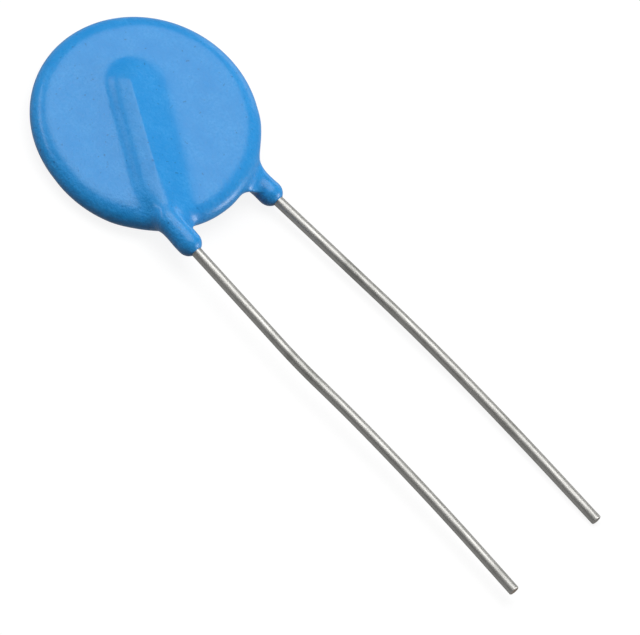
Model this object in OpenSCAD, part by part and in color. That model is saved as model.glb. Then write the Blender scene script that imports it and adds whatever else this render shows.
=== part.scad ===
// Metal oxide varistor: a dipped disc with two radial wire leads, lying on its back.
// Each piece is worked out with the disc flat and centred, its front face up and the leads
// along -Y. rest() then tips the whole part over onto the three places that carry it.

/* [Ceramic disc] */
// Diameter of the zinc oxide disc
disc_d = 14; // [11:0.1:18]
// Thickness of the zinc oxide disc
disc_t = 1.3; // [0.9:0.05:2.4]
// Chamfer round both edges of the disc
disc_chamfer = 0.15; // [0.05:0.05:0.3]

/* [Electrodes and solder] */
// Diameter of the silver layer on each face of the disc
electrode_d = 12.4; // [9.5:0.1:13.4]
// Thickness of each silver layer
electrode_t = 0.05; // [0.02:0.01:0.1]
// Width of the solder that holds a lead, where it meets the silver
solder_w = 2.4; // [1.6:0.1:3]
// Bare silver between the end of the solder and the edge of the silver
solder_edge = 0.3; // [0.1:0.1:0.8]
// Solder between the silver and the underside of the wire
solder_film = 0.05; // [0.02:0.01:0.1]
// Solder over the top of the wire
solder_cover = 0.12; // [0.06:0.01:0.2]

/* [Epoxy coating] */
// Coating over the flat of each silver layer
coat_face = 0.45; // [0.3:0.05:0.8]
// Coating outside the edge of the disc
coat_rim = 1.25; // [0.9:0.05:1.8]
// Coating round the soldered end of each lead
coat_wire = 0.45; // [0.35:0.05:0.6]
// Width of the mound over each lead, where it meets the flat face
mound_w = 3.8; // [3:0.1:4.6]
// How far the crest over each wire stands above its mound
crest_h = 0.12; // [0.08:0.02:0.2]
// Diameter of the coating's leg round each lead
leg_d = 1.9; // [1.8:0.05:2.4]
// How far the coating runs down the front lead past the edge of the disc
front_leg = 3.4; // [2.4:0.1:5]
// How far the coating runs down the rear lead past the edge of the disc
rear_leg = 2.9; // [2.4:0.1:5]

/* [Leads] */
// Diameter of the tinned wire
lead_d = 0.8; // [0.6:0.05:1]
// Front lead's distance from the middle line, where it crosses the coating's edge
front_x = 4.5; // [3:0.1:5]
// Rear lead's distance from the middle line, where it crosses the coating's edge
rear_x = 4.0; // [3:0.1:5]
// Angle between a lead's soldered end and the direction that the leads point in
lead_slant = 27; // [15:1:35]
// How far a lead's soldered end reaches past the middle of the disc
lead_reach = 2.8; // [1.5:0.1:3.5]
// Straight stretch of each lead after its kink
lead_straight = 12; // [9:0.1:20]
// Straight stretch at each lead's cut end
lead_end = 4.4; // [2:0.1:8]

/* [Hidden] */
$fn = 96;

front = 1;
rear = -1;

// Outline of the coating
coat_r = disc_d / 2 + coat_rim;
electrode_top = disc_t / 2 + electrode_t;
coat_top = electrode_top + coat_face;
flat_r = coat_r - coat_top;

// The leads' height above or below the middle plane, and what covers them there
wire_r = lead_d / 2;
wire_z = electrode_top + solder_film + wire_r;
crest_r = wire_r + coat_wire;
solder_h = solder_film + lead_d + solder_cover;
mound_h = wire_z + crest_r - crest_h - coat_top;

// Radius of a round bar that shows w wide and h high above a flat
function bar_r(w, h) = (w * w / 4 + h * h) / (2 * h);
solder_r = bar_r(solder_w, solder_h);
solder_z = electrode_top + solder_h - solder_r;
mound_r = bar_r(mound_w, mound_h);
mound_z = coat_top + mound_h - mound_r;

// A lead's soldered end runs along lead_slant, and crosses the coating's edge at its kink.
// side is front or rear: the front lead is on the -X half, and the rear one on the +X half.
function kink_x(side) = side == front ? front_x : rear_x;
function kink(side) = [-side * kink_x(side), -sqrt(coat_r ^ 2 - kink_x(side) ^ 2)];
function slant(side) = [side * sin(lead_slant), cos(lead_slant)];
function along(side, t) = kink(side) + t * slant(side);

// Distance from the kink to the point nearest the disc's middle, to the lead's soldered
// end, and to where the slanted line comes within r of the disc's middle
function middle_t(side) = -kink(side) * slant(side);
function start_t(side) = middle_t(side) + lead_reach;
function within_t(side, r) = middle_t(side) - sqrt(r ^ 2 - norm(along(side, middle_t(side))) ^ 2);

// The wire's route as [length, turn] steps along straight stretches. A turn is positive
// towards +X. bow() spreads one soft bend over several steps, as in hand-straightened wire.
kink_turns = 3;
kink_step = 0.4;
front_splay = 0.1;
rear_splay = 5;
function bow(length, turn, n) = [for (i = [1:n]) [length / n, turn / n]];
front_bows = concat(bow(4, 4.3, 3), bow(5.4, -2.2, 3), bow(10.9, -2.7, 4));
rear_bows = concat(bow(8.4, -2.7, 4), bow(10.4, -1.7, 2));

function heading(side) = -side * lead_slant;
function kink_turn(side) = (side == front ? front_splay : rear_splay) - heading(side);
function steps(side) = concat(
    [[start_t(side) - kink_step, kink_turn(side) / kink_turns]],
    bow(kink_step * (kink_turns - 1), kink_turn(side) * (1 - 1 / kink_turns), kink_turns - 1),
    [[lead_straight - kink_step, 0]],
    side == front ? front_bows : rear_bows,
    [[lead_end, 0]]
);

// Each turning point of a wire as [point, heading], where a heading of 0 is along -Y
function stations(p, a, path, i = 0) = i == len(path) ? [[p, a]] : concat(
    [[p, a]],
    stations(p + path[i][0] * [sin(a), -cos(a)], a + path[i][1], path, i + 1)
);
function route(side) = stations(along(side, start_t(side)), heading(side), steps(side));
function tip(side) = route(side)[len(steps(side))][0];

// The part lies on its rim's -X side, on the rear crest's far end and on the rear lead's
// tip. Each is taken as a ball, and the surface under them as the plane that touches all.
rest_rim_angle = 195;
rim_ball = flat_r * [cos(rest_rim_angle), sin(rest_rim_angle), 0];
crest_ball = [each along(rear, start_t(rear)), -wire_z];
tip_ball = [each tip(rear), -wire_z];
u = rim_ball - tip_ball;
v = crest_ball - tip_ball;
u_drop = coat_top - wire_r;
v_drop = crest_r - wire_r;
det = (u * u) * (v * v) - (u * v) ^ 2;
lean = ((u_drop * (v * v) - v_drop * (u * v)) * u + (v_drop * (u * u) - u_drop * (u * v)) * v) / det;
up = lean + sqrt(1 - lean * lean) * cross(v, u) / norm(cross(v, u));
rest_pitch = atan2(up.y, up.z);
rest_roll = -atan2(up.x, norm([up.y, up.z]));
rest_height = wire_r - up * tip_ball;
rest_y = -(coat_r + min(tip(front).y, tip(rear).y)) / 2;

module rest() {
    translate([0, rest_y, rest_height]) rotate([rest_pitch, rest_roll, 0]) children();
}

module tipped_over(side) {
    rotate([0, side == front ? 0 : 180, 0]) children();
}

// A wire is a row of straight lengths. At each turning point a ball, just larger than the
// wire, joins two lengths that stop just short of it.
joint_swell = 0.003;
joint_gap = 0.02;
module lead(side) {
    points = route(side);
    last = len(points) - 2;
    translate([0, 0, side * wire_z]) for (i = [0:last]) {
        start = i == 0 ? 0 : joint_gap;
        stop = steps(side)[i][0] - (i == last ? 0 : joint_gap);
        translate([each points[i][0], 0]) rotate([90, 0, points[i][1]]) {
            translate([0, 0, start]) cylinder(d = lead_d, h = stop - start);
            if (i > 0) sphere(r = wire_r + joint_swell);
        }
    }
}

module ceramic() {
    cylinder(d = disc_d, h = disc_t - 2 * disc_chamfer, center = true);
    for (side = [front, rear]) {
        tipped_over(side) translate([0, 0, disc_t / 2 - disc_chamfer])
            cylinder(d1 = disc_d, d2 = disc_d - 2 * disc_chamfer, h = disc_chamfer);
    }
}

module electrode(side) {
    tipped_over(side) translate([0, 0, disc_t / 2]) cylinder(d = electrode_d, h = electrode_t);
}

// A round-ended bar, from the middle of one end at the origin to the other up +Z
module round_bar(r, length) {
    rotate_extrude() {
        square([r, length]);
        translate([0, length]) intersection() {
            circle(r = r);
            square([r, r]);
        }
        intersection() {
            circle(r = r);
            translate([0, -r]) square([r, r]);
        }
    }
}

// Puts a bar's first end on a lead's slanted line, t0 from the kink and z above or below
// the middle plane, and runs it away from the kink
module on_slant(side, t0, z) {
    translate([each along(side, t0), side * z]) rotate([90, 0, heading(side) + 180]) children();
}

// The part of a shape that lies further than base from the middle plane
module above(side, base) {
    intersection() {
        children();
        tipped_over(side) translate([-disc_d, -disc_d, base]) cube([2 * disc_d, 2 * disc_d, disc_d]);
    }
}

module solder_mound(side) {
    t0 = within_t(side, (electrode_d - solder_w) / 2 - solder_edge);
    above(side, electrode_top)
        on_slant(side, t0, solder_z) round_bar(solder_r, start_t(side) - t0);
}

module solder(side) {
    difference() {
        solder_mound(side);
        lead(side);
    }
}

// The coating filled in: a disc with a round edge, and over each lead a broad mound, a
// narrow crest along the wire and a leg where the wire comes out
module coated_disc() {
    rotate_extrude() {
        translate([0, -coat_top]) square([flat_r, 2 * coat_top]);
        intersection() {
            translate([flat_r, 0]) circle(r = coat_top);
            translate([flat_r, -coat_top]) square([coat_top, 2 * coat_top]);
        }
    }
}

module mound(side) {
    t0 = within_t(side, coat_r - mound_r);
    above(side, 0) on_slant(side, t0, mound_z) round_bar(mound_r, start_t(side) - t0);
}

module crest(side) {
    on_slant(side, 0, wire_z) round_bar(crest_r, start_t(side));
}

module leg(side) {
    length = side == front ? front_leg : rear_leg;
    translate([each kink(side), side * wire_z])
        rotate([90, 0, heading(side) + kink_turn(side)]) round_bar(leg_d / 2, length - leg_d / 2);
}

module coating_skin() {
    union() {
        coated_disc();
        for (side = [front, rear]) {
            mound(side);
            crest(side);
        }
    }
    for (side = [front, rear]) leg(side);
}

module zinc_oxide_disc() {
    color("dimgray") rest() ceramic();
}

module front_electrode() {
    color("gainsboro") rest() electrode(front);
}

module rear_electrode() {
    color("gainsboro") rest() electrode(rear);
}

module front_solder() {
    color("lightslategray") rest() solder(front);
}

module rear_solder() {
    color("lightslategray") rest() solder(rear);
}

module front_lead() {
    color("silver") rest() lead(front);
}

module rear_lead() {
    color("silver") rest() lead(rear);
}

// The coating fills every space between the pieces inside and its own skin
module epoxy_coating() {
    color("#4a9be6") rest() difference() {
        coating_skin();
        ceramic();
        for (side = [front, rear]) {
            electrode(side);
            solder_mound(side);
            lead(side);
        }
    }
}

zinc_oxide_disc();
front_electrode();
rear_electrode();
front_solder();
rear_solder();
front_lead();
rear_lead();
epoxy_coating();
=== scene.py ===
"""Metal oxide varistor: a blue dipped disc with two tinned wire leads.

The pieces are modelled with the disc flat and centred at the origin, its front face up and
its leads along -Y, and are then tipped over onto the surface that the part lies on.
"""
import math

import bmesh
import bpy
from bpy.props import FloatProperty, FloatVectorProperty, IntProperty, PointerProperty
from mathutils import Matrix, Vector


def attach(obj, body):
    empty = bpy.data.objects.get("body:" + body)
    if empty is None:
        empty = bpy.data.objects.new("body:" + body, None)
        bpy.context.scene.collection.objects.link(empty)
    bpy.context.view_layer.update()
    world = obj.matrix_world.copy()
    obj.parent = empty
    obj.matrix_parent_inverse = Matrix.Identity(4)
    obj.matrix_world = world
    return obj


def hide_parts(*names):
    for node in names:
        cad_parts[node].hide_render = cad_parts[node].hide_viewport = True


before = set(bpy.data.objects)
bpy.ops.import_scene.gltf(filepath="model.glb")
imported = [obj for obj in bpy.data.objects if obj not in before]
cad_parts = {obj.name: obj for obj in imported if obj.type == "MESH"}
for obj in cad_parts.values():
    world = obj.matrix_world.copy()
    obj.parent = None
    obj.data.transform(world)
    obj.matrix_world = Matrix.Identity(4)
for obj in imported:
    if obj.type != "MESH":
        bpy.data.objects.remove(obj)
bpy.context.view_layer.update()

bl_info = {
    "name": "Metal Oxide Varistor",
    "version": (1, 0, 0),
    "blender": (4, 5, 0),
    "location": "3D View > Sidebar > Varistor",
    "description": "Models a dipped disc varistor with its leads, its finishes and a studio",
    "category": "Add Mesh",
}

MM = 0.001
FRONT, REAR = 1, -1

# What a drawn ridge does past its cone. Each stop has its distance from the kink and what its
# steep side, its flat side and its height are scaled by: back at the shoulder, just over the
# rim as a web, and inside the leg.
SHOULDER_STOP = (1.9, 1.2, 0.98, 1.14)
WEB_STOP = {FRONT: (0.5, 0.33, 0.50, 1.2), REAR: (0.5, 0.33, 0.42, 1.2)}
LEG_STOP = (1.9, 0.7, 0.2, 0.35)

# Each lead's hand bends after its straight stretch: length, turn in degrees and steps. The
# kink's turn is taken in steps too.
BOWS = {FRONT: ((4, 4.3, 6), (5.4, -2.2, 6), (10.9, -2.7, 8)),
        REAR: ((8.4, -2.7, 8), (10.4, -1.7, 8))}
KINK_STEPS = 8

# Where the coating's joints are softened: the distances in millimetres from which a softening
# is full and at which it is gone, and how many turns it takes.
ROOT_REACH, ROOT_DROP, ROOT_TURNS = (2.0, 3.6), (0.9, 1.9), 180
FOOT_HEIGHT, FOOT_RADIUS, FOOT_TURNS = (1.35, 1.6), (6.6, 7.2), 70
FLAT_SIDE_ACROSS, FLAT_SIDE_HEIGHT, FLAT_SIDE_TURNS = (1.9, 1.0), (1.4, 1.75), 300
STEEP_SIDE_ACROSS, STEEP_SIDE_TURNS = (-0.5, -0.2), 45
SIDE_RADIUS = (6.4, 7.2)
SKIN_TURNS = 8
SMOOTH_FACTOR = 0.5

# Slack for picking out faces and points, and how near points are welded, in millimetres
TOUCH, WELD = 0.01, 0.001
# How squarely a face looks along an axis to count as facing it, the turn in degrees below
# which a route counts as straight, and the turn at which a lead's edges stay sharp
FACING, STRAIGHT, SHARP = 0.9, 1e-6, 35
# Fewer faces than this mean that the coating went wrong
COATING_FACES = 1000

# The roughness of each finish, from its glossiest to its dullest, and how far the scuff on the
# front lead reaches at its full strength and at its end, in millimetres
EPOXY_ROUGH, TIN_ROUGH = (0.30, 0.42), (0.43, 0.56)
CUT_ROUGH, CERAMIC_ROUGH = (0.4, 0.6), (0.6, 0.8)
SCUFF_REACH, SCUFF_STRENGTH = (0.40, 0.64), 0.6

# How bright the floor is to the camera, what share of that the part mirrors, how bright the
# world is, and the floor's width in metres
FLOOR_GLOW, FLOOR_MIRRORED, WORLD_LIGHT = 0.88, 0.35, 0.07
FLOOR_WIDTH = 1.6

# Each lamp's name, bearing and height in degrees, distance, width and height in metres, and
# power in watts. They all face one place.
LAMPS_FACE = (0, 0.012, 0.002)
LAMPS = (("key_softbox", 150, 76, 0.6, 0.54, 0.54, 3.25),
         ("fill_softbox", -150, 31, 0.7, 0.55, 0.06, 1.2),
         ("side_card", 100, 8, 0.7, 0.34, 0.16, 0.5),
         ("front_card", 32, 9, 0.7, 0.28, 0.26, 2.7))


# ---------------------------------------------------------------- sizes and colours

def length_mm(name, description, default, low=0.0, high=100.0):
    """A length in millimetres."""
    return FloatProperty(name=name, description=description, default=default, min=low, max=high,
                         precision=3)


def place_mm(name, description, default):
    """A place in millimetres."""
    return FloatVectorProperty(name=name, description=description, default=default, size=3,
                               precision=3)


def angle(name, description, degrees):
    """An angle, written in degrees."""
    return FloatProperty(name=name, description=description, default=math.radians(degrees),
                         subtype="ANGLE", unit="ROTATION", precision=3)


def colour(name, description, rgb):
    """A linear colour."""
    return FloatVectorProperty(name=name, description=description, default=(*rgb, 1.0), size=4,
                               min=0.0, max=1.0, subtype="COLOR")


class VaristorSizes(bpy.types.PropertyGroup):
    """Sizes of the coating and the leads, in millimetres"""
    coat_radius: length_mm("Coating radius", "Radius of the coating's round outline", 8.31)
    coat_half: length_mm("Half thickness", "From the middle plane to the coating's flat", 1.15)
    shoulder: length_mm("Shoulder", "How far in from the outline a face starts to fall away", 1.6)
    sag_inset: length_mm("Sag inset", "How much smaller the gathered coating's outline is", 0.08)
    sag_x: length_mm("Sag across", "How far the gathered coating lies across the leads", 0.12)
    sag_y: length_mm("Sag along", "How far the gathered coating lies towards the leads", 0.42)
    ridge_top: length_mm("Ridge top", "From the middle plane to the crest of a ridge", 1.98)
    ridge_left: length_mm("Steep foot", "From the wire to a ridge's foot, on its steep side", 1.75)
    ridge_right: length_mm("Flat foot", "From the wire to a ridge's foot, on its flat side", 2.7)
    ridge_step: length_mm("Ridge step", "Top of the steep side's step, above the flat", 0.52)
    ridge_ledge: length_mm("Ridge ledge", "From the wire to the top of that step", 0.98)
    ridge_sunk: length_mm("Ridge sunk", "How far a ridge goes on below the flat", 0.5)
    ridge_short: length_mm("Ridge short", "How far a ridge's cone is from its wire's end", 0.35)
    front_leg: length_mm("Front leg", "How far the coating runs down the front lead", 3.4)
    rear_leg: length_mm("Rear leg", "How far the coating runs down the rear lead", 2.9)
    leg_radius: length_mm("Leg radius", "Radius of the coating's leg at its root", 0.97)
    leg_tip: length_mm("Leg tip", "Radius of the coating's leg at its end", 0.92)
    voxel: length_mm("Voxel", "Grid that blends the coating's shapes into one skin", 0.1, 0.1)
    wire_level: length_mm("Wire level", "From the middle plane to each wire's centre", 1.15)
    wire_radius: length_mm("Wire radius", "Radius of the tinned wire", 0.4)
    kink_circle: length_mm("Kink circle", "Radius of the circle that both kinks lie on", 8.25)
    front_kink: length_mm("Front kink", "From the middle line to the front lead's kink", 4.5)
    rear_kink: length_mm("Rear kink", "From the middle line to the rear lead's kink", 4.0)
    kink_bend: length_mm("Kink bend", "Length of wire that each kink takes up", 1.4)
    lead_reach: length_mm("Lead reach", "How far a soldered end passes the disc's middle", 2.8)
    lead_straight: length_mm("Straight stretch", "Straight stretch of a lead after its kink", 12)
    lead_end: length_mm("Lead end", "Straight stretch at each cut end", 4.4)
    burr: length_mm("Burr", "Length of the rounded edge at each cut end", 0.05)
    burr_share: FloatProperty(name="Burr share", default=0.86,
                              description="Size of a cut face, as a share of the wire")
    wire_sides: IntProperty(name="Wire sides", default=28, min=8, max=64,
                            description="Sides of the round wire")
    scuff: place_mm("Scuff", "Dull patch on the front lead, as the part lies",
                    (-4.508, -2.75, 2.043))
    lead_slant: angle("Lead slant", "Between a soldered end and the way the leads point", 27)
    front_splay: angle("Front splay", "Angle that the front lead leaves the coating at", 0.1)
    rear_splay: angle("Rear splay", "Angle that the rear lead leaves the coating at", 5)
    rest_pitch: angle("Rest pitch", "Tilt of the part about X as it lies", 1.67658)
    rest_roll: angle("Rest roll", "Tilt of the part about Y as it lies", -6.99178)
    rest_y: length_mm("Rest Y", "Place of the disc's middle along Y", 17.6834)
    rest_height: length_mm("Rest height", "Height of the disc's middle above the surface", 2.03818)


class VaristorColours(bpy.types.PropertyGroup):
    """Colours of the finishes"""
    epoxy: colour("Epoxy", "Cured blue epoxy", (0.019, 0.292, 0.735))
    epoxy_pale: colour("Epoxy, pale", "Paler fleck in the epoxy", (0.044, 0.350, 0.800))
    epoxy_dark: colour("Epoxy, dark", "Darker speck in the epoxy", (0.010, 0.140, 0.400))
    tin: colour("Tin", "Bright tinned wire", (0.48, 0.475, 0.455))
    tin_dull: colour("Tin, dull", "Handled and oxidised tin", (0.30, 0.30, 0.28))
    cut_face: colour("Cut face", "Bare metal at a cut end", (0.30, 0.24, 0.19))
    ceramic: colour("Ceramic", "Fired zinc oxide", (0.020, 0.021, 0.024))
    silver: colour("Silver", "Fired silver paste", (0.68, 0.67, 0.64))
    solder: colour("Solder", "Soft solder", (0.42, 0.43, 0.44))
    floor: colour("Floor", "Studio floor, as it lights the part", (0.15, 0.15, 0.15))


class VaristorStudio(bpy.types.PropertyGroup):
    """Camera and lights"""
    azimuth: angle("Azimuth", "Camera's bearing round the part", -65.491)
    elevation: angle("Elevation", "Camera's height above the horizon", 52.458)
    roll: angle("Roll", "Camera's roll about its own axis", 27.143)
    frame_width: length_mm("Frame width", "Width of the view at the part", 45.117)
    distance: FloatProperty(name="Distance", default=2.0, unit="LENGTH", subtype="DISTANCE",
                            description="Camera's distance from the part")
    target: place_mm("Target", "Place that the camera looks at", (2.3695, -0.1971, -2.0053))


# ---------------------------------------------------------------- small helpers

def sizes():
    return bpy.context.scene.varistor_sizes


def colours():
    return bpy.context.scene.varistor_colours


def studio():
    return bpy.context.scene.varistor_studio


def select_only(*objects):
    """Leaves object mode with just these objects selected, the first one active."""
    if bpy.context.object and bpy.context.object.mode != "OBJECT":
        bpy.ops.object.mode_set(mode="OBJECT")
    bpy.ops.object.select_all(action="DESELECT")
    for thing in objects:
        thing.select_set(True)
    if objects:
        bpy.context.view_layer.objects.active = objects[0]


def select_faces(test):
    """Selects, in edit mode, the faces that pass a test of their middle and normal."""
    bpy.ops.mesh.select_all(action="DESELECT")
    mesh = bmesh.from_edit_mesh(bpy.context.object.data)
    for face in mesh.faces:
        face.select_set(bool(test(face.calc_center_median(), face.normal)))
    mesh.select_flush_mode()
    bmesh.update_edit_mesh(bpy.context.object.data)


def select_points(test):
    """Selects, in edit mode, the vertices that pass a test of their place."""
    bpy.ops.mesh.select_mode(type="VERT")
    bpy.ops.mesh.select_all(action="DESELECT")
    mesh = bmesh.from_edit_mesh(bpy.context.object.data)
    for vertex in mesh.verts:
        vertex.select_set(bool(test(vertex.co)))
    mesh.select_flush_mode()
    bmesh.update_edit_mesh(bpy.context.object.data)


def apply_modifier(piece, kind, **settings):
    """Adds a modifier, sets it and applies it."""
    select_only(piece)
    modifier = piece.modifiers.new(kind.title(), kind)
    for key, value in settings.items():
        setattr(modifier, key, value)
    bpy.ops.object.modifier_apply(modifier=modifier.name)


def rest_matrix():
    """Where the part's own frame goes as it lies on the surface."""
    s = sizes()
    turn = Matrix.Rotation(s.rest_roll, 4, "Y") @ Matrix.Rotation(s.rest_pitch, 4, "X")
    return Matrix.Translation((0, s.rest_y * MM, s.rest_height * MM)) @ turn


def lay_down(piece):
    """Tips a finished piece over onto the surface, with its place in its mesh."""
    select_only(piece)
    piece.matrix_world = rest_matrix() @ piece.matrix_world
    bpy.ops.object.transform_apply(location=True, rotation=True, scale=True)


# ---------------------------------------------------------------- the wires' routes

def kink(side):
    """Where a lead crosses the coating's edge, in millimetres."""
    s = sizes()
    x = s.front_kink if side == FRONT else s.rear_kink
    return Vector((-side * x, -math.sqrt(s.kink_circle ** 2 - x ** 2)))


def slant(side):
    """The way from a lead's kink towards its soldered end."""
    return Vector((side * math.sin(sizes().lead_slant), math.cos(sizes().lead_slant)))


def splay(side):
    """The angle that a lead leaves the coating at."""
    return sizes().front_splay if side == FRONT else sizes().rear_splay


def along(side, t):
    """The point t millimetres from the kink towards the soldered end."""
    return kink(side) + slant(side) * t


def across(side, place):
    """How far a place lies from a soldered wire, towards its ridge's flat side."""
    off = Vector((place.x, place.y)) - kink(side)
    return side * off.x * math.cos(sizes().lead_slant) - off.y * math.sin(sizes().lead_slant)


def soldered_length(side):
    """How far a lead's soldered end is from its kink."""
    return -kink(side).dot(slant(side)) + sizes().lead_reach


def bow(length, turn, count):
    """One soft bend, as steps of [length, turn in degrees]."""
    return [(length / count, turn / count)] * count


def route(side):
    """A wire's turning points and headings, from its soldered end to its cut end."""
    s = sizes()
    slope = math.degrees(s.lead_slant)
    turn = math.degrees(splay(side)) + side * slope
    bows = [step for shape in BOWS[side] for step in bow(*shape)]
    steps = ([(soldered_length(side) - s.kink_bend / 2, turn / KINK_STEPS)]
             + bow(s.kink_bend, turn * (KINK_STEPS - 1) / KINK_STEPS, KINK_STEPS - 1)
             + [(s.lead_straight - s.kink_bend / 2, 0)] + bows + [(s.lead_end - s.burr, 0)])
    place, heading = along(side, soldered_length(side)), -side * slope
    points = [(place.copy(), heading)]
    for length, bend in steps:
        way = math.radians(heading)
        place = place + Vector((math.sin(way), -math.cos(way))) * length
        heading += bend
        points.append((place.copy(), heading))
    return points


# ---------------------------------------------------------------- the coating

def ball(centre, radius):
    """A ball, placed in millimetres."""
    bpy.ops.mesh.primitive_uv_sphere_add(segments=48, ring_count=24, radius=radius * MM,
                                         location=Vector(centre) * MM)
    return bpy.context.object


def cone_between(start, end, start_radius, end_radius):
    """A round bar, tapered from one radius to another."""
    start, end = Vector(start), Vector(end)
    way = end - start
    bpy.ops.mesh.primitive_cone_add(
        vertices=48, radius1=start_radius * MM, radius2=end_radius * MM, depth=way.length * MM,
        location=(start + end) / 2 * MM, rotation=way.to_track_quat("Z", "Y").to_euler())
    return bpy.context.object


def soft_disc(radius, x, y):
    """A flat core in a ring pressed so that the faces fall away softly to the outline."""
    s = sizes()
    core = radius - s.shoulder
    bpy.ops.mesh.primitive_torus_add(major_segments=256, minor_segments=48, major_radius=core * MM,
                                     minor_radius=s.shoulder * MM, location=(x * MM, y * MM, 0))
    ring = bpy.context.object
    ring.scale.z = s.coat_half / s.shoulder
    bpy.ops.mesh.primitive_cylinder_add(vertices=128, radius=core * MM, depth=2 * s.coat_half * MM,
                                        location=(x * MM, y * MM, 0))
    return [ring, bpy.context.object]


def dipped_disc():
    """The coated disc, thicker on the side where the wet coating gathered."""
    s = sizes()
    dipped = soft_disc(s.coat_radius, 0, 0)
    return dipped + soft_disc(s.coat_radius - s.sag_inset, -s.sag_x, -s.sag_y)


def over(side, x, y, turn):
    """A place on the front face, or the same place on the part turned over for the rear."""
    flat = Matrix.Translation((x * MM, y * MM, 0)) @ Matrix.Rotation(turn, 4, "Z")
    return flat if side == FRONT else Matrix.Rotation(math.pi, 4, "Y") @ flat


def ridge_end():
    """The rounded end of a ridge: half of a lopsided cone, with its cut face selected.

    X runs across the wire and -Y along it towards the kink. It has a crest over the wire, a
    step on its steep side and an even slope on its flat side.
    """
    s = sizes()
    rise = s.ridge_top - s.coat_half
    slope = s.ridge_right / rise
    low, high = s.coat_half - s.ridge_sunk, s.coat_half + s.ridge_step
    steep_run = (s.ridge_left - s.ridge_ledge) / s.ridge_step
    ledge = (-s.ridge_ledge, slope * (rise - s.ridge_step))
    foot = (-s.ridge_left - steep_run * s.ridge_sunk, slope * (rise + s.ridge_sunk))
    bpy.ops.mesh.primitive_cone_add(
        vertices=96, radius1=(foot[1] - foot[0]) / 2 * MM, radius2=(ledge[1] - ledge[0]) / 2 * MM,
        depth=(high - low) * MM, location=((foot[0] + foot[1]) / 2 * MM, 0, (low + high) / 2 * MM))
    bpy.ops.object.transform_apply(location=True, rotation=True, scale=True)
    bpy.ops.object.mode_set(mode="EDIT")
    top = (high - TOUCH) * MM
    select_points(lambda p: p.z > top)
    shift = (ledge[0] + ledge[1] - foot[0] - foot[1]) / 2 * MM
    bpy.ops.transform.translate(value=(shift, 0, 0))
    bpy.ops.mesh.select_mode(type="FACE")
    select_faces(lambda centre, normal: centre.z > top)
    bpy.ops.mesh.extrude_region_move(
        TRANSFORM_OT_translate={"value": (0, 0, (s.ridge_top - high) * MM)})
    bpy.ops.transform.resize(value=(0, 0, 1), center_override=(0, 0, s.ridge_top * MM))
    bpy.ops.mesh.select_all(action="SELECT")
    bpy.ops.mesh.remove_doubles(threshold=WELD * MM)
    bpy.ops.mesh.select_all(action="SELECT")
    bpy.ops.mesh.bisect(plane_co=(0, 0, 0), plane_no=(0, 1, 0), use_fill=True, clear_inner=True,
                        threshold=WELD * MM)
    select_faces(lambda centre, normal: abs(centre.y) < WELD * MM and abs(normal.y) > FACING)
    return bpy.context.object


def ridge_tent(side):
    """The ridge over a soldered wire: its end, drawn along the wire, over the rim and down."""
    s = sizes()
    ridge = ridge_end()
    start = soldered_length(side) - s.ridge_short
    turn = s.lead_slant + side * splay(side)
    down = Vector((math.sin(turn), -math.cos(turn)))
    back = Vector((0, 1))
    kink_here = Vector((0, -start))
    here = Vector((0, 0))
    stops = ((back, SHOULDER_STOP, s.ridge_top), (down, WEB_STOP[side], s.ridge_top),
             (down, LEG_STOP, s.wire_level))
    for way, (distance, steep, flat, tall), level in stops:
        there = kink_here + way * distance
        step = (there - here) * MM
        bpy.ops.mesh.extrude_region_move(TRANSFORM_OT_translate={"value": (step.x, step.y, 0)})
        edge = (there.y + TOUCH) * MM
        for on_steep_side, share in ((True, steep), (False, flat)):
            select_points(lambda p: p.y < edge and (p.x < there.x * MM) == on_steep_side)
            bpy.ops.transform.resize(value=(share, 1, tall),
                                     center_override=(*there * MM, level * MM))
        bpy.ops.mesh.select_mode(type="FACE")
        select_faces(lambda centre, normal: centre.y < edge)
        here = there
    bpy.ops.object.mode_set(mode="OBJECT")
    top = along(side, start)
    ridge.matrix_world = over(side, side * top.x, top.y, -s.lead_slant)
    return ridge


def leg(side):
    """The leg of coating down a lead: a tapered bar with a ball at each end."""
    s = sizes()
    level = side * s.wire_level
    run = (s.front_leg if side == FRONT else s.rear_leg) - s.leg_tip
    way = Vector((math.sin(splay(side)), -math.cos(splay(side))))
    root, tip = kink(side), kink(side) + way * run
    top, end = Vector((*root, level)), Vector((*tip, level))
    bar = cone_between(top, end, s.leg_radius, s.leg_tip)
    return [bar, ball(top, s.leg_radius), ball(end, s.leg_tip)]


def soften(piece, name, weight, turns):
    """Smooths a piece where a weight from its place says so."""
    group = piece.vertex_groups.new(name=name)
    for vertex in piece.data.vertices:
        amount = weight(vertex.co / MM)
        if amount > 0:
            group.add([vertex.index], amount, "REPLACE")
    apply_modifier(piece, "SMOOTH", factor=SMOOTH_FACTOR, iterations=turns,
                   vertex_group=group.name)
    piece.vertex_groups.remove(piece.vertex_groups[name])


def falloff(distance, near, far):
    """1 up to near and 0 from far on, or 1 from near on and 0 up to far if near is past far."""
    return 1 - max(0.0, min(1.0, (distance - near) / (far - near)))


def near_root(p):
    """Where the legs leave the rim."""
    amounts = []
    for side in (FRONT, REAR):
        root = kink(side)
        reach = (Vector((p.x, p.y)) - root).length
        amounts.append(falloff(reach, *ROOT_REACH) * falloff(root.y - p.y, *ROOT_DROP))
    return max(amounts)


def near_foot(p):
    """Where the ridges rise from the faces."""
    return falloff(abs(p.z), *FOOT_HEIGHT) * falloff(Vector((p.x, p.y)).length, *FOOT_RADIUS)


def near_flat_side(p):
    """The flat sides of the ridges, up to near the crest."""
    side = FRONT if p.z > 0 else REAR
    return (falloff(across(side, p), *FLAT_SIDE_ACROSS) * falloff(abs(p.z), *FLAT_SIDE_HEIGHT)
            * falloff(Vector((p.x, p.y)).length, *SIDE_RADIUS))


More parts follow.
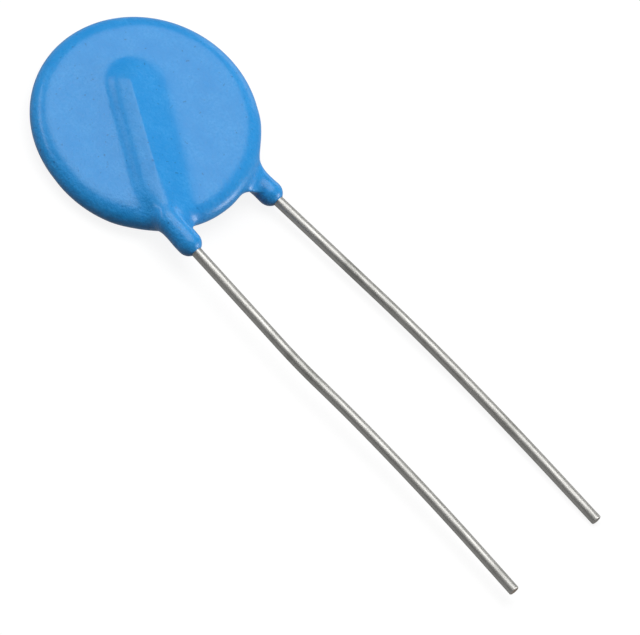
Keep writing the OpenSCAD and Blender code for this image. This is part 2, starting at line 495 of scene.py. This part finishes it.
def near_steep_side(p):
    """The steep sides of the ridges and the face beyond them."""
    side = FRONT if p.z > 0 else REAR
    return (falloff(across(side, p), *STEEP_SIDE_ACROSS)
            * falloff(Vector((p.x, p.y)).length, *SIDE_RADIUS))


class VARISTOR_OT_coating(bpy.types.Operator):
    """Model the blue epoxy coating with its ridges and legs"""
    bl_idname = "varistor.coating"
    bl_label = "Epoxy Coating"
    bl_options = {"REGISTER", "UNDO"}

    def execute(self, context):
        s = sizes()
        select_only()
        shapes = dipped_disc()
        for side in (FRONT, REAR):
            shapes += [ridge_tent(side), *leg(side)]
        select_only(*shapes)
        bpy.ops.object.transform_apply(location=True, rotation=True, scale=True)
        bpy.ops.object.join()
        coating = context.object
        coating.name = coating.data.name = "dipped_coating"
        coating.data.remesh_voxel_size = s.voxel * MM
        bpy.ops.object.voxel_remesh()
        soften(coating, "roots", near_root, ROOT_TURNS)
        soften(coating, "feet", near_foot, FOOT_TURNS)
        soften(coating, "flat sides", near_flat_side, FLAT_SIDE_TURNS)
        soften(coating, "steep sides", near_steep_side, STEEP_SIDE_TURNS)
        soften(coating, "all", lambda p: 1.0, SKIN_TURNS)
        bpy.ops.object.shade_smooth()
        lay_down(coating)
        if len(coating.data.polygons) < COATING_FACES:
            raise RuntimeError("the coating came out empty")
        wear(coating, epoxy_finish())
        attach(coating, "root")
        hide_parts("epoxy_coating")
        return {"FINISHED"}


# ---------------------------------------------------------------- the leads

class VARISTOR_OT_leads(bpy.types.Operator):
    """Draw both tinned leads along their routes, with their cut ends"""
    bl_idname = "varistor.leads"
    bl_label = "Leads"
    bl_options = {"REGISTER", "UNDO"}

    def execute(self, context):
        tin, cut = tin_finish(), cut_finish()
        for side, name in ((FRONT, "front_lead"), (REAR, "rear_lead")):
            wire = self.draw_wire(side, tin, cut)
            wire.name = wire.data.name = "tinned_" + name
            lay_down(wire)
            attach(wire, "root")
            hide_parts(name)
        return {"FINISHED"}

    def draw_wire(self, side, tin, cut):
        """One wire: a round face drawn along the route, and a rounded edge at the cut end."""
        s = sizes()
        level = side * s.wire_level * MM
        points = route(side)
        (start, heading), last = points[0], points[-1][0]
        select_only()
        bpy.ops.mesh.primitive_circle_add(
            vertices=s.wire_sides, radius=s.wire_radius * MM, fill_type="NGON",
            location=(start.x * MM, start.y * MM, level),
            rotation=(math.pi / 2, 0, math.radians(heading)))
        wire = bpy.context.object
        bpy.ops.object.transform_apply(location=True, rotation=True, scale=True)
        wear(wire, tin, cut)
        bpy.ops.object.mode_set(mode="EDIT")
        bpy.ops.mesh.select_mode(type="FACE")
        bpy.ops.mesh.select_all(action="SELECT")
        for (here, before), (there, after) in zip(points, points[1:]):
            step = (there - here) * MM
            bpy.ops.mesh.extrude_region_move(TRANSFORM_OT_translate={"value": (step.x, step.y, 0)})
            if abs(after - before) > STRAIGHT:
                bpy.ops.transform.rotate(value=-math.radians(after - before), orient_axis="Z",
                                         center_override=(there.x * MM, there.y * MM, level))
        way = math.radians(points[-1][1])
        burr = Vector((math.sin(way), -math.cos(way), 0)) * s.burr * MM
        bpy.ops.mesh.extrude_region_move(TRANSFORM_OT_translate={"value": burr})
        tip = Vector((last.x * MM, last.y * MM, level)) + burr
        bpy.ops.transform.resize(value=(s.burr_share,) * 3, center_override=tip)
        wire.active_material_index = 1
        bpy.ops.object.material_slot_assign()
        bpy.ops.mesh.select_all(action="SELECT")
        bpy.ops.mesh.normals_make_consistent(inside=False)
        bpy.ops.object.mode_set(mode="OBJECT")
        bpy.ops.object.shade_smooth_by_angle(angle=math.radians(SHARP))
        return wire


# ---------------------------------------------------------------- finishes

def group(name, inputs, outputs):
    """A new shader node group with named sockets."""
    made = bpy.data.node_groups.new(name, "ShaderNodeTree")
    for label, kind, default in inputs:
        socket = made.interface.new_socket(label, in_out="INPUT", socket_type=kind)
        if default is not None:
            socket.default_value = default
    for label, kind in outputs:
        made.interface.new_socket(label, in_out="OUTPUT", socket_type=kind)
    return made, made.nodes.new("NodeGroupInput"), made.nodes.new("NodeGroupOutput")


def noise(tree, vector, scale, detail=2.0, roughness=0.5):
    """Noise at a place: its scale is in features a metre."""
    made = tree.nodes.new("ShaderNodeTexNoise")
    made.inputs["Scale"].default_value = scale
    made.inputs["Detail"].default_value = detail
    made.inputs["Roughness"].default_value = roughness
    tree.links.new(vector, made.inputs["Vector"])
    return made.outputs["Fac"]


def spread(tree, value, low, high, to_low=0.0, to_high=1.0):
    """A value's range from low to high, stretched to another range and held to it."""
    made = tree.nodes.new("ShaderNodeMapRange")
    made.inputs["From Min"].default_value = low
    made.inputs["From Max"].default_value = high
    made.inputs["To Min"].default_value = to_low
    made.inputs["To Max"].default_value = to_high
    tree.links.new(value, made.inputs["Value"])
    return made.outputs["Result"]


def mixed(tree, factor, a, b):
    """A mix of two colours, each of them plain or a socket."""
    made = tree.nodes.new("ShaderNodeMix")
    made.data_type = "RGBA"
    tree.links.new(factor, made.inputs["Factor"])
    for socket, value in ((made.inputs[6], a), (made.inputs[7], b)):
        if isinstance(value, bpy.types.NodeSocket):
            tree.links.new(value, socket)
        else:
            socket.default_value = value
    return made.outputs[2]


def speckle_group():
    """Cloudy and grainy masks at two scales, shared by every finish."""
    if "Speckle" in bpy.data.node_groups:
        return bpy.data.node_groups["Speckle"]
    made, entry, out = group(
        "Speckle",
        [("Vector", "NodeSocketVector", None), ("Cloud Scale", "NodeSocketFloat", 400.0),
         ("Grain Scale", "NodeSocketFloat", 4000.0)],
        [("Cloud", "NodeSocketFloat"), ("Grain", "NodeSocketFloat")])
    for label, scale, detail in (("Cloud", "Cloud Scale", 4.0), ("Grain", "Grain Scale", 3.0)):
        texture = made.nodes.new("ShaderNodeTexNoise")
        texture.inputs["Detail"].default_value = detail
        made.links.new(entry.outputs["Vector"], texture.inputs["Vector"])
        made.links.new(entry.outputs[scale], texture.inputs["Scale"])
        made.links.new(spread(made, texture.outputs["Fac"], 0.3, 0.7), out.inputs[label])
    return made


def finish(name, metallic=0.0, **constants):
    """A new material with its Object coordinates, speckle and shader."""
    made = bpy.data.materials.new(name)
    made.use_nodes = True
    tree = made.node_tree
    shader = tree.nodes["Principled BSDF"]
    shader.inputs["Metallic"].default_value = metallic
    for key, value in constants.items():
        shader.inputs[key.replace("_", " ")].default_value = value
    where = tree.nodes.new("ShaderNodeTexCoord").outputs["Object"]
    speckle = tree.nodes.new("ShaderNodeGroup")
    speckle.node_tree = speckle_group()
    tree.links.new(where, speckle.inputs["Vector"])
    return made, tree, shader, where, speckle


def sum_of(tree, kind, a, b):
    """One sum on two sockets, or on a socket and a number."""
    made = tree.nodes.new("ShaderNodeMath")
    made.operation = kind
    tree.links.new(a, made.inputs[0])
    if isinstance(b, bpy.types.NodeSocket):
        tree.links.new(b, made.inputs[1])
    else:
        made.inputs[1].default_value = b
    return made.outputs[0]


def bump(tree, shader, height, strength, distance):
    """Raises a shader's surface by a height, over a distance in metres."""
    made = tree.nodes.new("ShaderNodeBump")
    made.inputs["Strength"].default_value = strength
    made.inputs["Distance"].default_value = distance
    tree.links.new(height, made.inputs["Height"])
    tree.links.new(made.outputs["Normal"], shader.inputs["Normal"])


def shaded(rgba, share):
    """A colour made darker or paler."""
    return tuple(value * share for value in rgba[:3]) + (1.0,)


def drive(tree, shader, base, roughness):
    """Feeds a shader's colour and its roughness."""
    tree.links.new(base, shader.inputs["Base Color"])
    tree.links.new(roughness, shader.inputs["Roughness"])


def epoxy_finish():
    """Dipped epoxy: two blues in a fine speckle, dark specks, a soft sheen and orange peel."""
    c = colours()
    made, tree, shader, where, speckle = finish("Blue epoxy", Coat_Roughness=0.27, Coat_IOR=1.5,
                                                Coat_Weight=0.46, Specular_IOR_Level=0.15)
    speckle.inputs["Cloud Scale"].default_value = 700.0
    speckle.inputs["Grain Scale"].default_value = 5200.0
    cloud, grain = speckle.outputs["Cloud"], speckle.outputs["Grain"]
    blend = mixed(tree, sum_of(tree, "MULTIPLY", cloud, grain), c.epoxy, c.epoxy_pale)
    specks = spread(tree, noise(tree, where, scale=3000.0, detail=1.0), 0.70, 0.78, 0.0, 0.6)
    drive(tree, shader, mixed(tree, specks, blend, c.epoxy_dark),
          spread(tree, grain, 0, 1, *EPOXY_ROUGH))
    peel = noise(tree, where, scale=2600.0, detail=4.0, roughness=0.65)
    waves = noise(tree, where, scale=260.0, detail=1.0)
    bump(tree, shader, sum_of(tree, "ADD", peel, waves), strength=0.8, distance=0.00012)
    return made


def tin_finish():
    """Tinned wire: bright metal with lengthwise drawing marks, duller patches and a scuff."""
    c = colours()
    made, tree, shader, where, speckle = finish("Tinned wire", metallic=1.0,
                                                Specular_Tint=(0.6, 0.6, 0.58, 1.0))
    speckle.inputs["Cloud Scale"].default_value = 350.0
    stretch = tree.nodes.new("ShaderNodeMapping")
    stretch.inputs["Scale"].default_value = (1.0, 0.04, 1.0)
    tree.links.new(where, stretch.inputs["Vector"])
    streaks = noise(tree, stretch.outputs["Vector"], scale=9000.0, detail=3.0)
    dull = spread(tree, speckle.outputs["Cloud"], 0.55, 1.0, 0.0, 0.6)
    reach = tree.nodes.new("ShaderNodeVectorMath")
    reach.operation = "DISTANCE"
    reach.inputs[1].default_value = Vector(sizes().scuff) * MM
    tree.links.new(where, reach.inputs[0])
    full, gone = SCUFF_REACH
    scuff = spread(tree, reach.outputs["Value"], full * MM, gone * MM, SCUFF_STRENGTH, 0.0)
    worn = sum_of(tree, "MAXIMUM", dull, scuff)
    drive(tree, shader, mixed(tree, worn, c.tin, c.tin_dull),
          spread(tree, streaks, 0.3, 0.7, *TIN_ROUGH))
    bump(tree, shader, streaks, strength=0.08, distance=0.00001)
    return made


def cut_finish():
    """The sheared face at a lead's end."""
    c = colours()
    made, tree, shader, _, speckle = finish("Cut wire", metallic=1.0)
    drive(tree, shader, mixed(tree, speckle.outputs["Cloud"], c.cut_face, c.tin_dull),
          spread(tree, speckle.outputs["Grain"], 0, 1, *CUT_ROUGH))
    bump(tree, shader, speckle.outputs["Grain"], strength=0.4, distance=0.00002)
    return made


def plain_metal_finish(name, bright, dark, rough, grain):
    """Solder and fired silver: metal with a grainy skin."""
    made, tree, shader, _, speckle = finish(name, metallic=1.0)
    speckle.inputs["Grain Scale"].default_value = grain
    drive(tree, shader, mixed(tree, speckle.outputs["Cloud"], bright, dark),
          spread(tree, speckle.outputs["Grain"], 0, 1, rough, rough + 0.15))
    bump(tree, shader, speckle.outputs["Grain"], strength=0.3, distance=0.00001)
    return made


def ceramic_finish():
    """Fired zinc oxide: almost black, matt and grainy."""
    c = colours()
    made, tree, shader, _, speckle = finish("Zinc oxide")
    drive(tree, shader, mixed(tree, speckle.outputs["Grain"], c.ceramic, shaded(c.ceramic, 2.2)),
          spread(tree, speckle.outputs["Cloud"], 0, 1, *CERAMIC_ROUGH))
    bump(tree, shader, speckle.outputs["Grain"], strength=0.4, distance=0.00002)
    return made


def wear(piece, *finishes):
    """Gives a piece its finishes, one a slot."""
    piece.data.materials.clear()
    for made in finishes:
        piece.data.materials.append(made)


class VARISTOR_OT_inner_pieces(bpy.types.Operator):
    """Give the ceramic disc, the silver layers and the solder their finishes"""
    bl_idname = "varistor.inner_pieces"
    bl_label = "Inner Pieces"
    bl_options = {"REGISTER", "UNDO"}

    def execute(self, context):
        c = colours()
        silver = plain_metal_finish("Fired silver", c.silver, shaded(c.silver, 0.6), rough=0.45,
                                    grain=9000.0)
        solder = plain_metal_finish("Soft solder", c.solder, shaded(c.solder, 0.6), rough=0.28,
                                    grain=5000.0)
        made = {"zinc_oxide_disc": ceramic_finish(), "front_electrode": silver,
                "rear_electrode": silver, "front_solder": solder, "rear_solder": solder}
        for name, material in made.items():
            wear(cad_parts[name], material)
        return {"FINISHED"}


# ---------------------------------------------------------------- the studio

def area_light(name, place, target, width, height, power):
    """A soft rectangular lamp that faces a target."""
    data = bpy.data.lights.new(name, "AREA")
    data.shape = "RECTANGLE"
    data.size, data.size_y = width, height
    data.energy = power
    lamp = bpy.data.objects.new(name, data)
    bpy.context.collection.objects.link(lamp)
    lamp.location = place
    lamp.rotation_euler = (Vector(place) - Vector(target)).to_track_quat("Z", "Y").to_euler()
    return lamp


def way_to(azimuth, elevation):
    """The way from the part towards a bearing and a height, both in radians."""
    flat = math.cos(elevation)
    return Vector((math.sin(azimuth) * flat, -math.cos(azimuth) * flat, math.sin(elevation)))


class VARISTOR_OT_stage(bpy.types.Operator):
    """Set up the pale floor, the soft lights and the camera"""
    bl_idname = "varistor.stage"
    bl_label = "Studio"
    bl_options = {"REGISTER", "UNDO"}

    def execute(self, context):
        self.floor()
        self.lights()
        self.camera()
        context.scene.view_settings.view_transform = "Standard"
        return {"FINISHED"}

    def floor(self):
        """A pale floor that looks white and still takes the part's shadow."""
        select_only()
        bpy.ops.mesh.primitive_grid_add(x_subdivisions=8, y_subdivisions=8, size=FLOOR_WIDTH)
        floor = bpy.context.object
        floor.name = floor.data.name = "studio_floor"
        made = bpy.data.materials.new("Pale floor")
        made.use_nodes = True
        tree = made.node_tree
        shader = tree.nodes["Principled BSDF"]
        shader.inputs["Base Color"].default_value = colours().floor
        shader.inputs["Roughness"].default_value = 0.9
        shader.inputs["Specular IOR Level"].default_value = 0.1
        rays = tree.nodes.new("ShaderNodeLightPath").outputs
        mirrored = sum_of(tree, "MULTIPLY", rays["Is Glossy Ray"], FLOOR_MIRRORED)
        seen = sum_of(tree, "MAXIMUM", rays["Is Camera Ray"], mirrored)
        both = sum_of(tree, "MAXIMUM", seen, rays["Is Transmission Ray"])
        glow = sum_of(tree, "MULTIPLY", both, FLOOR_GLOW)
        shader.inputs["Emission Color"].default_value = (1, 1, 1, 1)
        tree.links.new(glow, shader.inputs["Emission Strength"])
        wear(floor, made)

    def lights(self):
        """The lamps round the part, and an even faint world."""
        middle = Vector(LAMPS_FACE)
        for name, azimuth, elevation, distance, width, height, power in LAMPS:
            place = middle + way_to(math.radians(azimuth), math.radians(elevation)) * distance
            area_light(name, place, middle, width, height, power)
        world = bpy.data.worlds.new("Studio")
        bpy.context.scene.world = world
        world.use_nodes = True
        background = world.node_tree.nodes["Background"]
        background.inputs["Color"].default_value = (1, 1, 1, 1)
        background.inputs["Strength"].default_value = WORLD_LIGHT

    def camera(self):
        """A long lens that looks down on the part."""
        look = studio()
        data = bpy.data.cameras.new("camera")
        lens = bpy.data.objects.new("camera", data)
        bpy.context.collection.objects.link(lens)
        data.sensor_width = 36.0
        data.lens = data.sensor_width * look.distance / (look.frame_width * MM)
        data.clip_start, data.clip_end = 0.05, 10.0
        toward = way_to(look.azimuth, look.elevation)
        target = Vector(look.target) * MM
        spin = Matrix.Rotation(look.roll, 3, toward)
        turn = spin @ toward.to_track_quat("Z", "Y").to_matrix()
        lens.matrix_world = Matrix.Translation(target + toward * look.distance) @ turn.to_4x4()
        bpy.context.scene.camera = lens


# ---------------------------------------------------------------- panel and running

class VARISTOR_PT_panel(bpy.types.Panel):
    """Sizes, colours and steps of the varistor"""
    bl_label = "Varistor"
    bl_idname = "VARISTOR_PT_panel"
    bl_space_type = "VIEW_3D"
    bl_region_type = "UI"
    bl_category = "Varistor"

    def draw(self, context):
        layout = self.layout
        for step in STEPS:
            layout.operator(step.bl_idname)
        for settings in (sizes(), colours(), studio()):
            box = layout.box()
            for name in settings.__annotations__:
                box.prop(settings, name)


STEPS = (VARISTOR_OT_coating, VARISTOR_OT_leads, VARISTOR_OT_inner_pieces, VARISTOR_OT_stage)
CLASSES = (VaristorSizes, VaristorColours, VaristorStudio, *STEPS, VARISTOR_PT_panel)


def register():
    for cls in CLASSES:
        bpy.utils.register_class(cls)
    bpy.types.Scene.varistor_sizes = PointerProperty(type=VaristorSizes)
    bpy.types.Scene.varistor_colours = PointerProperty(type=VaristorColours)
    bpy.types.Scene.varistor_studio = PointerProperty(type=VaristorStudio)


def unregister():
    del bpy.types.Scene.varistor_studio
    del bpy.types.Scene.varistor_colours
    del bpy.types.Scene.varistor_sizes
    for cls in reversed(CLASSES):
        bpy.utils.unregister_class(cls)


def main():
    """Registers the add-on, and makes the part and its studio."""
    register()
    bpy.ops.varistor.coating()
    bpy.ops.varistor.leads()
    bpy.ops.varistor.inner_pieces()
    bpy.ops.varistor.stage()


if __name__ == "__main__":
    main()
